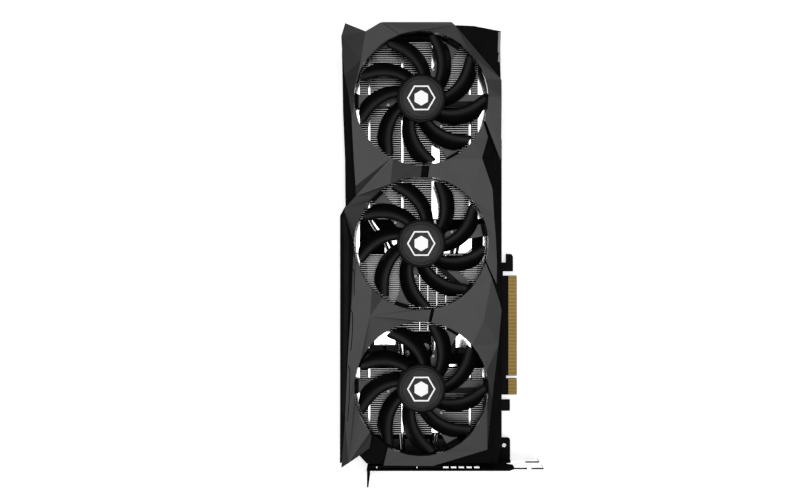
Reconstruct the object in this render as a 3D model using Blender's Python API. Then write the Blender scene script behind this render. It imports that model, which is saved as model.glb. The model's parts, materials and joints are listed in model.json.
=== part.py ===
"""Three-fan graphics card as an assembly of separate named pieces.

The card lies on its backplate with the fans facing up. The origin is on the backplate's
outer face, straight below the middle fan's axis. +Z points to the fans, +X to the edge
connector and -Y to the I/O bracket. All sizes below are in millimetres.
"""

import math

import bmesh
import bpy
from mathutils import Matrix, Vector

MM = 0.001
GAP = 0.3

# Height of each layer above the backplate's outer face.
BACKPLATE_TOP = 1.5
RIB_TOP = 3.1
BOARD_LOW = 3.4
BOARD_TOP = 5.0
CHIP_LOW = BOARD_TOP + GAP
CHIP_TOP = 6.5
DIE_TOP = 7.4
MEMORY_PLATE_LOW = 6.9
MEMORY_PLATE_TOP = 8.4
COLD_PLATE_LOW = DIE_TOP + GAP
COLD_PLATE_TOP = 10.7
PIPE_RADIUS = 3.0
PIPE_HEIGHT = COLD_PLATE_TOP + GAP + PIPE_RADIUS
FIN_BASE_LOW = PIPE_HEIGHT + PIPE_RADIUS + GAP
FIN_BASE_TOP = FIN_BASE_LOW + 1.2
FIN_TOP = 30.0
ARM_LOW = 31.5
ARM_TOP = 34.5
DECK_TOP = 39.7
FRAME_WALL = 1.5
COVER_LOW = DECK_TOP + GAP
RIM = 46.0

# Fans.
FAN_PITCH = 98.0
FAN_CENTRES = {"tail": FAN_PITCH, "middle": 0.0, "bracket": -FAN_PITCH}
OPENING_RADIUS = 45.2
BLADE_TIP_RADIUS = 43.5
BLADE_COUNT = 9
ROTOR_TURN = {"tail": 24.5, "middle": 19.5, "bracket": 24.5}
BLADE_SWEEP = math.radians(37)
BLADE_ROOT_ANGLE = math.radians(30)
BLADE_TIP_WIDTH = 12.0
BLADE_STEPS = 6
# Heights across a blade, from its clockwise edge to its counter-clockwise edge.
BLADE_UPPER = (37.4, 42.6, 44.0, 43.4)
BLADE_LOWER = (36.2, 40.4, 42.0, 42.2)
HUB_RADIUS = 16.5
HUB_CHAMFER = 1.0
HUB_LOW = 35.4
CUP_RADIUS = 14.7
CUP_CEILING = 44.0
SHAFT_RADIUS = 1.5
BEARING_RADIUS = 4.2
MOTOR_PLATE_RADIUS = 15.5
ARM_WIDTH = 8.3
ARM_REACH = 46.5
POST_DEPTH = 1.2
ARM_ANGLES = {
    "tail": (60, 180, 300, 0),
    "middle": (12.6, 132.6, 252.6, 316),
    "bracket": (60, 180, 300, 0),
}

# Circuit board. The slot sizes are those of the PCI Express card standard.
BOARD_LEFT = -42.0
BOARD_RIGHT = 58.5
BOARD_TAIL = 75.0
BOARD_END = -151.0
CONTACT_EDGE = 69.3
CONTACT_LONG = (-94.35, -22.7)
CONTACT_SHORT = (-107.9, -96.25)
CONTACT_THICKNESS = 0.15
CONTACT_GAP = 0.2
CONTACT_INNER = 62.7

# Backplate. Its slots let the air of the tail fan through.
BACKPLATE_OUTLINE = ((-52, -150), (-52, 146), (-49, 149), (22, 149), (54, 146), (57, 143), (57, -150))
BACKPLATE_SLOTS = (-40, -26, -12, 2, 16, 30)
SLOT_WIDTH = 7.0
SLOT_SPAN = (92.0, 134.0)
RIB_WIDTH = 2.5
RIB_ROOT = 0.5

# I/O bracket.
BRACKET_FACE = -154.6
BRACKET_THICKNESS = 1.0
BRACKET_LEFT = -37.0
BRACKET_RIGHT = 60.0
BRACKET_LOW = 0.9
BRACKET_HIGH = 39.64
TONGUE_TIP = 84.0
TONGUE_WIDTH = 10.19
TONGUE_PITCH = 20.32
TONGUE_LOW = 3.9
TONGUE_SHOULDER = 4.0
TONGUE_SLOPE = 3.0
FLANGE_LENGTH = 11.4
FLANGE_INSET = 0.2
TAB_LEFT = 52.0
TAB_RIGHT = 64.4
TAB_FAR = -138.3
TAB_CORNER = 2.0
TAB_HOLE = (60.1, -144.0)
TAB_HOLE_RADIUS = 1.5
VENT_COUNT = 14
VENT_PITCH = 5.35
VENT_WIDTH = 3.9
VENT_FIRST = -30.9
VENT_LOW = 26.0
VENT_HIGH = 35.4
SOCKET_CENTRES = {"display_socket_1": -24.0, "display_socket_2": -2.0,
                  "display_socket_3": 20.0, "hdmi_socket": 41.0}
SOCKET_WIDTH = {"display": 17.5, "hdmi": 15.4}
SOCKET_CAVITY = {"display": 16.1, "hdmi": 14.0}
SOCKET_HEIGHT = 5.4
SOCKET_CAVITY_HEIGHT = 4.4
SOCKET_DEPTH = 16.0
SOCKET_FRONT = BRACKET_FACE + 0.2

# Heatsink.
FIN_PITCH = 5.92
FIN_THICKNESS = 1.0
FIN_STACKS = {"tail": (17.0, 139.0), "middle": (-60.3, -7.2), "bracket": (-131.3, -85.8)}
FIN_LEFT = -41.8
FIN_RIGHT = {"tail": 39.3, "middle": 42.5, "bracket": 42.5}
FIN_BASE_LEFT = -48.5
FIN_BASE_RIGHT = 48.0
COLD_PLATE = (-25.0, -34.0, 36.5, 7.0)
# Heat pipes: the bent ones run at one X in the tail stack and at another on the cold plate.
BENT_PIPES = {1: (-35.6, -20.5), 4: (34.2, 24.0)}
STRAIGHT_PIPES = {2: -12.7, 3: 10.4}
STRAIGHT_PIPE_SPAN = (143.0, -145.0)
BEND_START = 24.0
BEND_LENGTH = 32.0
PROCESSOR_CENTRE = (6.0, -14.0)
PACKAGE_SIZE = 38.0
DIE_SIZE = (19.0, 25.0)
MEMORY_CENTRES = ((-24, -2), (-24, -15), (-24, -28), (36, -2), (36, -15), (36, -28))
MEMORY_SIZE = (14.0, 12.0)
CHOKE_CENTRES = (-31.0, -19.5, 20.0, 31.5)
CHOKE_SIZE = 10.0
CHOKE_TOP = 11.5
CHOKE_ROW = -73.0
MEMORY_PLATE_OUTLINE = ((-41, -131), (56, -131), (56, 74), (-36, 74), (-36, 34), (-41, 34))
COLD_PLATE_CLEARANCE = 0.5
CHOKE_WINDOW = (-37.5, CHOKE_ROW - 7, 38.0, CHOKE_ROW + 7)
SCREW_OFFSET = 27.0
SCREW_HOLE_RADIUS = 4.5
SCREW_HEAD_RADIUS = 3.5
POWER_CENTRES = {"power_socket_1": 48.0, "power_socket_2": 72.0}
POWER_SIZE = (12.0, 21.0, 11.0)
POWER_FRONT = -51.5
POWER_WALL = 1.2
POWER_DEPTH = 9.0


# --- Helpers -------------------------------------------------------------------------

def clear_scene():
    for item in list(bpy.data.objects):
        bpy.data.objects.remove(item, do_unlink=True)


def make_material(name, colour, roughness, metallic=0.0):
    material = bpy.data.materials.new(name)
    material.use_nodes = True
    shader = material.node_tree.nodes["Principled BSDF"]
    shader.inputs["Base Color"].default_value = (*colour, 1.0)
    shader.inputs["Roughness"].default_value = roughness
    shader.inputs["Metallic"].default_value = metallic
    return material


def add_object(name, shape, material, smooth=False, parent=None):
    """Turn a finished bmesh, drawn in the parent's frame, into a named object."""
    bmesh.ops.recalc_face_normals(shape, faces=shape.faces[:])
    mesh = bpy.data.meshes.new(name)
    shape.to_mesh(mesh)
    shape.free()
    mesh.materials.append(material)
    if smooth:
        mesh.shade_smooth()
        mesh.set_sharp_from_angle(angle=math.radians(35))
    item = bpy.data.objects.new(name, mesh)
    bpy.context.scene.collection.objects.link(item)
    item.parent = parent
    return item


def arc(centre, radius, start, end, steps):
    """Points from one angle to another, in degrees, both ends included."""
    points = []
    for step in range(steps + 1):
        angle = math.radians(start + (end - start) * step / steps)
        points.append((centre[0] + radius * math.cos(angle), centre[1] + radius * math.sin(angle)))
    return points


def circle(centre, radius, steps):
    return arc(centre, radius, 0, 360, steps)[:-1]


def rectangle(left, low, right, high):
    return [(left, low), (right, low), (right, high), (left, high)]


def grow_up(shape, faces, height):
    """Extrude a flat sheet of faces upwards into a closed solid."""
    grown = bmesh.ops.extrude_face_region(shape, geom=faces)
    risen = [item for item in grown["geom"] if isinstance(item, bmesh.types.BMVert)]
    bmesh.ops.translate(shape, verts=risen, vec=(0, 0, height * MM))


def prism(loops, low, high):
    """Upright solid from an outline followed by any holes, each a list of points."""
    shape = bmesh.new()
    for loop in loops:
        corners = [shape.verts.new((x * MM, y * MM, low * MM)) for x, y in loop]
        for first, second in zip(corners, corners[1:] + corners[:1]):
            shape.edges.new((first, second))
    bmesh.ops.triangle_fill(shape, edges=shape.edges[:], use_beauty=True)
    grow_up(shape, shape.faces[:], high - low)
    return shape


def box(left, near, low, right, far, high):
    return prism([rectangle(left, near, right, far)], low, high)


def turned(profile, segments):
    """Solid turned about Z. The profile runs from axis to axis, or closes on itself."""
    shape = bmesh.new()
    rings = []
    for radius, height in profile:
        count = segments if radius > 0 else 1
        rings.append([
            shape.verts.new((radius * MM * math.cos(2 * math.pi * step / segments),
                             radius * MM * math.sin(2 * math.pi * step / segments), height * MM))
            for step in range(count)])
    pairs = list(zip(rings, rings[1:]))
    if profile[0][0] > 0:
        pairs.append((rings[-1], rings[0]))
    for first, second in pairs:
        for step in range(segments):
            following = (step + 1) % segments
            if len(first) == 1:
                shape.faces.new((first[0], second[step], second[following]))
            elif len(second) == 1:
                shape.faces.new((first[step], first[following], second[0]))
            else:
                shape.faces.new((first[step], first[following], second[following], second[step]))
    return shape


def open_box(size, wall, depth, cavity):
    """Box centred on X and Z with a cavity sunk into its -Y face, which is at Y = 0."""
    width, length, height = size
    shape = box(-width / 2, 0, -height / 2, width / 2, length, height / 2)
    bmesh.ops.dissolve_limit(shape, angle_limit=0.01, verts=shape.verts[:], edges=shape.edges[:])
    front = min(shape.faces, key=lambda face: face.calc_center_median().y)
    bmesh.ops.inset_region(shape, faces=[front], thickness=wall * MM, use_even_offset=True)
    for corner in front.verts:
        corner.co.x = math.copysign(cavity[0] / 2 * MM, corner.co.x)
        corner.co.z = math.copysign(cavity[1] / 2 * MM, corner.co.z)
    sunk = bmesh.ops.extrude_discrete_faces(shape, faces=[front])["faces"][0]
    bmesh.ops.translate(shape, verts=sunk.verts[:], vec=(0, depth * MM, 0))
    return shape


# --- Board and electronics -----------------------------------------------------------

def board_outline():
    """Board seen from the fans, counter-clockwise from the corner by the bracket."""
    return [
        (BOARD_LEFT, BOARD_END), (BOARD_RIGHT, BOARD_END),
        (BOARD_RIGHT, -119.5), (64.4, -119.5), (64.4, -111.4), (BOARD_RIGHT, -111.4),
        (BOARD_RIGHT, CONTACT_SHORT[0]), (CONTACT_INNER, CONTACT_SHORT[0]),
        (CONTACT_INNER, CONTACT_SHORT[1]), (61.7, CONTACT_SHORT[1]),
        (61.7, CONTACT_LONG[0]), (CONTACT_INNER, CONTACT_LONG[0]),
        (CONTACT_INNER, CONTACT_LONG[1]), (59.4, CONTACT_LONG[1]),
        (59.4, -19.7), (66.6, -19.7), (66.6, -9.0), (65.2, -7.2), (61.5, -7.2),
        (61.5, -13.3), (BOARD_RIGHT, -13.3), (BOARD_RIGHT, BOARD_TAIL), (BOARD_LEFT, BOARD_TAIL),
    ]


def screw_points():
    centre_x, centre_y = PROCESSOR_CENTRE
    return [(centre_x + SCREW_OFFSET * side, centre_y + SCREW_OFFSET * end)
            for side in (-1, 1) for end in (-1, 1)]


def make_board(material):
    """Board whose tongue is thinner, so that the contacts finish flush with its faces."""
    shape = prism([board_outline()], BOARD_LOW, BOARD_TOP)
    inset = CONTACT_THICKNESS + CONTACT_GAP
    board = add_object("circuit_board", shape, material)
    for name, span in (("tongue_long", CONTACT_LONG), ("tongue_short", CONTACT_SHORT)):
        tongue = add_object(name, box(CONTACT_INNER - 1, span[0], BOARD_LOW + inset,
                                      CONTACT_EDGE, span[1], BOARD_TOP - inset), material)
        join_tool(board, tongue, "UNION")


def join_tool(target, tool, operation):
    """Combine a hidden helper solid with its target."""
    tool.hide_render = True
    tool.display_type = "WIRE"
    cut = target.modifiers.new(tool.name, "BOOLEAN")
    cut.operation = operation
    cut.object = tool


def make_contacts(material):
    left = CONTACT_INNER + GAP
    for group, span in (("long", CONTACT_LONG), ("short", CONTACT_SHORT)):
        front = box(left, span[0], BOARD_TOP - CONTACT_THICKNESS, CONTACT_EDGE, span[1], BOARD_TOP)
        rear = box(left, span[0], BOARD_LOW, CONTACT_EDGE, span[1], BOARD_LOW + CONTACT_THICKNESS)
        add_object(f"contacts_front_{group}", front, material)
        add_object(f"contacts_rear_{group}", rear, material)


def centred_block(centre, size, low, high):
    half_x = size[0] / 2
    half_y = size[1] / 2
    return box(centre[0] - half_x, centre[1] - half_y, low,
               centre[0] + half_x, centre[1] + half_y, high)


def make_chips(materials):
    package = centred_block(PROCESSOR_CENTRE, (PACKAGE_SIZE, PACKAGE_SIZE), CHIP_LOW, CHIP_TOP - 0.3)
    add_object("processor_package", package, materials["package"])
    die = centred_block(PROCESSOR_CENTRE, DIE_SIZE, CHIP_TOP, DIE_TOP)
    add_object("processor_die", die, materials["silicon"])
    for number, centre in enumerate(MEMORY_CENTRES, 1):
        chip = centred_block(centre, MEMORY_SIZE, CHIP_LOW, CHIP_TOP)
        add_object(f"memory_chip_{number}", chip, materials["package"])
    for number, centre_x in enumerate(CHOKE_CENTRES, 1):
        choke = centred_block((centre_x, CHOKE_ROW), (CHOKE_SIZE, CHOKE_SIZE), CHIP_LOW, CHOKE_TOP)
        add_object(f"choke_{number}", choke, materials["choke"])


def make_sockets(materials):
    for name, centre_x in SOCKET_CENTRES.items():
        kind = name.split("_")[0]
        size = (SOCKET_WIDTH[kind], SOCKET_DEPTH, SOCKET_HEIGHT)
        cavity = (SOCKET_CAVITY[kind], SOCKET_CAVITY_HEIGHT)
        socket = open_box(size, 0.4, SOCKET_DEPTH - 2.0, cavity)
        place = Vector((centre_x, SOCKET_FRONT, CHIP_LOW + SOCKET_HEIGHT / 2)) * MM
        bmesh.ops.translate(socket, verts=socket.verts[:], vec=place)
        add_object(name, socket, materials["steel"])
    for name, centre_y in POWER_CENTRES.items():
        depth, width, height = POWER_SIZE
        cavity = (width - 2 * POWER_WALL, height - 2 * POWER_WALL)
        socket = open_box((width, depth, height), POWER_WALL, POWER_DEPTH, cavity)
        bmesh.ops.rotate(socket, verts=socket.verts[:], cent=(0, 0, 0),
                         matrix=Matrix.Rotation(math.radians(-90), 3, "Z"))
        place = Vector((POWER_FRONT, centre_y, CHIP_LOW + height / 2)) * MM
        bmesh.ops.translate(socket, verts=socket.verts[:], vec=place)
        add_object(name, socket, materials["plastic"])


# --- Backplate, bracket and cooler ---------------------------------------------------

def make_backplate(material):
    """Slotted plate with a rib that runs round under the edge of the board."""
    holes = [circle(point, SCREW_HOLE_RADIUS, 20) for point in screw_points()]
    slots = [rectangle(left, SLOT_SPAN[0], left + SLOT_WIDTH, SLOT_SPAN[1])
             for left in BACKPLATE_SLOTS]
    plate = add_object("backplate", prism([BACKPLATE_OUTLINE] + holes + slots, 0, BACKPLATE_TOP),
                       material)
    left, near, right, far = BOARD_LEFT, BOARD_END + 1, BOARD_RIGHT - 2, BOARD_TAIL
    outer = rectangle(left, near, right, far)
    inner = rectangle(left + RIB_WIDTH, near + RIB_WIDTH, right - RIB_WIDTH, far - RIB_WIDTH)
    ribs = add_object("backplate_ribs", prism([outer, inner], BACKPLATE_TOP - RIB_ROOT, RIB_TOP),
                      material)
    join_tool(plate, ribs, "UNION")


def make_cooler_screws(material):
    for number, (x, y) in enumerate(screw_points(), 1):
        head = turned([(0, 0.5), (SCREW_HEAD_RADIUS - 0.4, 0.5), (SCREW_HEAD_RADIUS, 0.9),
                       (SCREW_HEAD_RADIUS, RIB_TOP), (0, RIB_TOP)], 20)
        bmesh.ops.translate(head, verts=head.verts[:], vec=(x * MM, y * MM, 0))
        add_object(f"cooler_screw_{number}", head, material, smooth=True)


def bracket_plate_loops():
    """Bracket face and its openings, drawn with X along the card and Y for height."""
    tongue_high = TONGUE_LOW + TONGUE_WIDTH
    shoulder = BRACKET_RIGHT + TONGUE_SHOULDER
    outline = [
        (BRACKET_LEFT, BRACKET_LOW), (BRACKET_RIGHT, BRACKET_LOW),
        (shoulder, TONGUE_LOW), (TONGUE_TIP, TONGUE_LOW), (TONGUE_TIP, tongue_high),
        (shoulder, tongue_high), (BRACKET_RIGHT, tongue_high + TONGUE_SLOPE),
        (BRACKET_RIGHT, TONGUE_LOW + TONGUE_PITCH - TONGUE_SLOPE),
        (shoulder, TONGUE_LOW + TONGUE_PITCH), (TONGUE_TIP, TONGUE_LOW + TONGUE_PITCH),
        (TONGUE_TIP, tongue_high + TONGUE_PITCH), (shoulder, tongue_high + TONGUE_PITCH),
        (BRACKET_RIGHT, BRACKET_HIGH), (BRACKET_LEFT, BRACKET_HIGH),
    ]
    loops = [outline]
    for number in range(VENT_COUNT):
        middle = VENT_FIRST + number * VENT_PITCH
        loops.append(rectangle(middle - VENT_WIDTH / 2, VENT_LOW, middle + VENT_WIDTH / 2, VENT_HIGH))
    for name, centre_x in SOCKET_CENTRES.items():
        half = SOCKET_WIDTH[name.split("_")[0]] / 2 + GAP
        loops.append(rectangle(centre_x - half, CHIP_LOW - GAP, centre_x + half,
                               CHIP_LOW + SOCKET_HEIGHT + GAP))
    return loops


def make_bracket(material):
    shape = prism(bracket_plate_loops(), 0, BRACKET_THICKNESS)
    bmesh.ops.rotate(shape, verts=shape.verts[:], cent=(0, 0, 0),
                     matrix=Matrix.Rotation(math.radians(90), 3, "X"))
    bmesh.ops.translate(shape, verts=shape.verts[:],
                        vec=(0, (BRACKET_FACE + BRACKET_THICKNESS) * MM, 0))
    bracket = add_object("io_bracket", shape, material)
    far = BRACKET_FACE + BRACKET_THICKNESS / 2
    left = BRACKET_LEFT + FLANGE_INSET
    flange = box(left, BRACKET_FACE - FLANGE_LENGTH, BRACKET_LOW + BRACKET_THICKNESS,
                 left + BRACKET_THICKNESS, far, BRACKET_HIGH - BRACKET_THICKNESS)
    join_tool(bracket, add_object("bracket_flange", flange, material), "UNION")
    hole = circle(TAB_HOLE, TAB_HOLE_RADIUS, 16)
    corner = arc((TAB_RIGHT - TAB_CORNER, TAB_FAR - TAB_CORNER), TAB_CORNER, 0, 90, 4)
    tab_outline = [(TAB_LEFT, far), (TAB_RIGHT, far)] + corner + [(TAB_LEFT, TAB_FAR)]
    tab = prism([tab_outline, hole], CHIP_LOW, CHIP_LOW + BRACKET_THICKNESS)
    join_tool(bracket, add_object("bracket_tab", tab, material), "UNION")


def make_memory_plate(material):
    """Plate over the memory chips, open around the cold plate and the row of chokes."""
    left, near, right, far = COLD_PLATE
    plate_window = rectangle(left - COLD_PLATE_CLEARANCE, near - COLD_PLATE_CLEARANCE,
                             right + COLD_PLATE_CLEARANCE, far + COLD_PLATE_CLEARANCE)
    loops = [MEMORY_PLATE_OUTLINE, plate_window, rectangle(*CHOKE_WINDOW)]
    add_object("memory_plate", prism(loops, MEMORY_PLATE_LOW, MEMORY_PLATE_TOP), material)


def make_cold_plate(material):
    left, near, right, far = COLD_PLATE
    add_object("cold_plate", box(left, near, COLD_PLATE_LOW, right, far, COLD_PLATE_TOP), material)


def make_pipe(number, points, material):
    curve = bpy.data.curves.new(f"heat_pipe_{number}", "CURVE")
    curve.dimensions = "3D"
    curve.bevel_depth = PIPE_RADIUS * MM
    curve.bevel_resolution = 2
    curve.use_fill_caps = True
    spline = curve.splines.new("POLY")
    spline.points.add(len(points) - 1)
    for place, (x, y) in zip(spline.points, points):
        place.co = (x * MM, y * MM, PIPE_HEIGHT * MM, 1)
    curve.materials.append(material)
    pipe = bpy.data.objects.new(f"heat_pipe_{number}", curve)
    bpy.context.scene.collection.objects.link(pipe)


def bent_route(outer, inner):
    """Route from the tail, easing sideways onto the cold plate in the open gap."""
    steps = 8
    points = [(outer, FIN_STACKS["tail"][1] + 3)]
    for step in range(steps + 1):
        share = step / steps
        eased = (1 - math.cos(math.pi * share)) / 2
        points.append((outer + (inner - outer) * eased, BEND_START - BEND_LENGTH * share))
    points.append((inner, FIN_STACKS["middle"][0] + 4))
    return points


def make_heat_pipes(material):
    for number, (outer, inner) in BENT_PIPES.items():
        make_pipe(number, bent_route(outer, inner), material)
    for number, x in STRAIGHT_PIPES.items():
        make_pipe(number, [(x, y) for y in STRAIGHT_PIPE_SPAN], material)


def make_fin_stack(name, material):
    """Base plate with a row of upright fins across the card."""
    near, far = FIN_STACKS[name]
    count = round((far - near - FIN_THICKNESS) / FIN_PITCH)
    pitch = (far - near - FIN_THICKNESS) / count
    rows = []
    for number in range(count + 1):
        start = near + number * pitch
        rows += [start, start + FIN_THICKNESS]
    rows = [near - 0.5] + rows + [far + 0.5]
    columns = [FIN_BASE_LEFT, FIN_LEFT, FIN_RIGHT[name], FIN_BASE_RIGHT]
    shape = bmesh.new()
    grid = [[shape.verts.new((x * MM, y * MM, FIN_BASE_LOW * MM)) for x in columns] for y in rows]
    fin_centres = []
    for row, (lower, upper) in enumerate(zip(grid, grid[1:])):
        for column in range(len(columns) - 1):
            face = shape.faces.new((lower[column], lower[column + 1],
                                    upper[column + 1], upper[column]))
            if column == 1 and row % 2 == 1:
                fin_centres.append(face.calc_center_median().y)
    grow_up(shape, shape.faces[:], FIN_BASE_TOP - FIN_BASE_LOW)
    bmesh.ops.recalc_face_normals(shape, faces=shape.faces[:])
    feet = []
    for face in shape.faces:
        middle = face.calc_center_median()
        on_top = middle.z > (FIN_BASE_TOP - 0.1) * MM
        inside = FIN_LEFT * MM < middle.x < FIN_RIGHT[name] * MM
        if on_top and inside and min(abs(middle.y - place) for place in fin_centres) < 0.01 * MM:
            feet.append(face)
    for raised in bmesh.ops.extrude_discrete_faces(shape, faces=feet)["faces"]:
        bmesh.ops.translate(shape, verts=raised.verts[:], vec=(0, 0, (FIN_TOP - FIN_BASE_TOP) * MM))
    under = [face for face in shape.faces if face.calc_center_median().z < (FIN_BASE_LOW + 0.1) * MM]
    bmesh.ops.dissolve_faces(shape, faces=under)
    add_object(f"fin_stack_{name}", shape, material)


# --- Shroud --------------------------------------------------------------------------

def rim_point(fan, angle):
    turn = math.radians(angle)
    return (OPENING_RADIUS * math.cos(turn),
            FAN_CENTRES[fan] + OPENING_RADIUS * math.sin(turn))


def cover_corners():
    """Named corners of the cover facets as (x, y, height)."""
    corners = {
        "tail_left": (-51.3, 148.8, 44.0), "tail_dip": (-37.5, 142.8, RIM),
        "ridge": (-40.5, 123.5, RIM), "left_a": (-48.7, 98.7, 45.2),
        "left_b": (-51.8, 113.8, 43.8), "left_c": (-53.8, 134.8, 43.4),
        "left_d": (-54.0, 140.2, 43.4), "peak": (-27.1, 149.0, RIM),
        "peak_right": (-26.6, 149.0, RIM),
        "left_e": (-46.8, 83.1, RIM), "left_f": (-45.4, 56.2, RIM),
        "fold_top": (-44.2, 38.7, RIM), "fold_low": (-44.2, 32.0, 44.3),
        "step_top": (-51.4, 24.0, 44.0), "step_low": (-51.8, 21.3, 44.0),
        "waist_top": (-45.9, 2.3, 45.6), "waist_low": (-45.8, -7.8, 45.6),
        "left_g": (-47.2, -43.5, 45.5), "left_h": (-49.7, -80.5, 45.5),
        "left_i": (-51.3, -118.9, 45.5), "wing_tip": (-53.9, -151.2, 45.0),
        "wing_fold": (-48.9, -147.8, RIM), "wing_a": (-40.7, -142.5, 44.2),
        "wing_b": (-35.0, -138.2, 43.8), "wing_c": (-33.6, -130.5, 44.0),
        "crease": (-34.5, -48.8, RIM), "slot_1_top": (0.5, 52.4, 42.0),
        "slot_1_low": (-0.2, 45.4, 42.0), "slot_2_top": (6.2, -44.9, 42.5),
        "slot_2_low": (4.6, -52.7, 42.5),
        "tail_edge": (20.4, 149.2, 45.2), "tail_turn": (22.8, 147.2, 45.1),
        "slope_end": (52.5, 112.3, 44.6), "right_a": (54.2, 110.3, 44.5),
        "right_b": (54.2, 98.6, 45.5), "right_c": (53.9, 59.6, 45.5),
        "right_d": (53.4, 56.2, 45.5), "slit_a": (45.0, 71.8, 45.0),
        "slit_b": (40.9, 57.5, RIM), "right_e": (48.0, 36.7, 45.6),
        "right_f": (49.0, 19.2, 45.6), "right_g": (50.3, 2.3, 45.6),
        "right_h": (51.0, -12.5, 45.6), "right_i": (50.7, -27.3, 45.6),
        "lower_fold": (47.4, -23.2, RIM), "lower_mid": (42.2, -51.5, RIM),
        "right_j": (53.1, -40.1, 45.0), "right_k": (54.1, -44.9, 44.8),
        "right_l": (52.1, -68.5, 44.5), "right_m": (47.7, -105.5, 44.8),
        "right_n": (44.6, -138.9, 44.8), "foot_left": (-25.4, -149.5, 45.6),
        "foot_right": (7.9, -149.8, 45.6),
    }
    on_rims = {
        "rim_165": ("tail", 165.4, RIM), "rim_119": ("tail", 118.7, RIM),
        "rim_109": ("tail", 109.4, RIM), "rim_109_right": ("tail", 108.9, RIM),
        "rim_243": ("tail", 243.3, RIM),
        "rim_245": ("tail", 245.2, RIM), "slot_1_rim": ("tail", 270.6, 42.0),
        "slot_1_rim_right": ("tail", 277.3, RIM), "rim_338": ("tail", 338.3, 45.0),
        "rim_341": ("tail", 341.3, RIM), "rim_17": ("tail", 17.3, 45.3), "rim_1": ("tail", 0.8, RIM),
        "mid_117": ("middle", 117.4, RIM), "mid_90": ("middle", 90.3, 42.0),
        "mid_84": ("middle", 84.1, RIM), "mid_43": ("middle", 43.5, RIM),
        "mid_345": ("middle", 344.9, RIM), "mid_343": ("middle", 343.0, RIM),
        "mid_223": ("middle", 222.8, RIM), "mid_235": ("middle", 235.0, 44.4),
        "mid_278": ("middle", 278.5, 42.5), "mid_281": ("middle", 281.4, RIM),
        "low_84": ("bracket", 83.9, 42.5), "low_81": ("bracket", 81.2, RIM),
        "low_156": ("bracket", 156.0, RIM), "low_185": ("bracket", 185.1, RIM),
        "low_220": ("bracket", 220.2, 44.5), "low_240": ("bracket", 240.3, RIM),
        "low_315": ("bracket", 314.8, 45.4), "low_41": ("bracket", 40.6, RIM),
    }
    for name, (fan, angle, height) in on_rims.items():
        corners[name] = (*rim_point(fan, angle), height)
    return corners


def rim_arc(fan, start, end, low, high):
    """Points between two rim corners, which are left out, with an even change of height."""
    steps = max(1, round(abs(end - start) / 9))
    ring = arc((0, FAN_CENTRES[fan]), OPENING_RADIUS, start, end, steps)
    return [(x, y, low + (high - low) * step / steps) for step, (x, y) in enumerate(ring)][1:-1]


LEFT_FACETS = (
    ("tail_left", "left_d", "left_c", "left_b", "left_a", "rim_165", "ridge", "tail_dip"),
    ("tail_dip", "ridge", "rim_165", ("tail", 165.4, 118.7, RIM, RIM), "rim_119"),
    ("tail_dip", "rim_119", ("tail", 118.7, 109.4, RIM, RIM), "rim_109", "peak"),
    ("left_a", "left_e", "left_f", "fold_top", "rim_243", ("tail", 243.3, 165.4, RIM, RIM), "rim_165"),
    ("fold_top", "fold_low", "rim_243"),
    ("rim_243", "fold_low", "step_top", "step_low", "waist_top", "waist_low", "left_g", "left_h",
     "left_i", "wing_tip", "wing_fold", "low_185", ("bracket", 185.1, 156.0, RIM, RIM), "low_156",
     "crease", "mid_223", ("middle", 222.8, 117.4, RIM, RIM), "mid_117", "rim_245"),
    ("rim_245", "mid_117", ("middle", 117.4, 90.3, RIM, 42.0), "mid_90", "slot_1_rim",
     ("tail", 270.6, 245.2, 42.0, RIM)),
    ("mid_223", "crease", "mid_235", ("middle", 235.0, 222.8, 44.4, RIM)),
    ("crease", "low_156", ("bracket", 156.0, 83.9, RIM, 42.5), "low_84", "mid_278",
     ("middle", 278.5, 235.0, 42.5, 44.4), "mid_235"),
    ("low_185", "wing_fold", "wing_a", "wing_b", "wing_c", "low_220",
     ("bracket", 220.2, 185.1, 44.5, RIM)),
)

UPPER_RIGHT_FACETS = (
    ("peak_right", "rim_109_right", ("tail", 108.9, 17.3, RIM, 45.3), "rim_17", "right_a",
     "slope_end", "tail_turn", "tail_edge"),
    ("rim_17", ("tail", 17.3, 0.8, 45.3, RIM), "rim_1", "right_b", "right_a"),
    ("rim_1", ("tail", 0.8, -18.7, RIM, RIM), "rim_341", "right_d", "right_c", "right_b"),
)

MIDDLE_RIGHT_FACETS = (
    ("slot_1_rim_right", "mid_84", ("middle", 84.1, 43.5, RIM, RIM), "mid_43", "slit_b",
     "slit_a", "rim_338", ("tail", 338.3, 277.3, 45.0, RIM)),
    ("mid_43", ("middle", 43.5, -15.1, RIM, RIM), "mid_345", "right_i", "right_h", "right_g",
     "right_f", "right_e", "slit_b"),
)

LOWER_RIGHT_FACETS = (
    ("mid_281", "low_81", ("bracket", 81.2, 40.6, RIM, RIM), "low_41", "lower_mid", "lower_fold",
     "mid_343", ("middle", 343.0, 281.4, RIM, RIM)),
    ("lower_fold", "lower_mid", "low_41", ("bracket", 40.6, -45.2, RIM, 45.4), "low_315", "right_n",
     "right_m", "right_l", "right_k", "right_j"),
    ("low_315", ("bracket", 314.8, 240.3, 45.4, RIM), "low_240", "foot_left", "foot_right",
     "right_n"),
)


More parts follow.
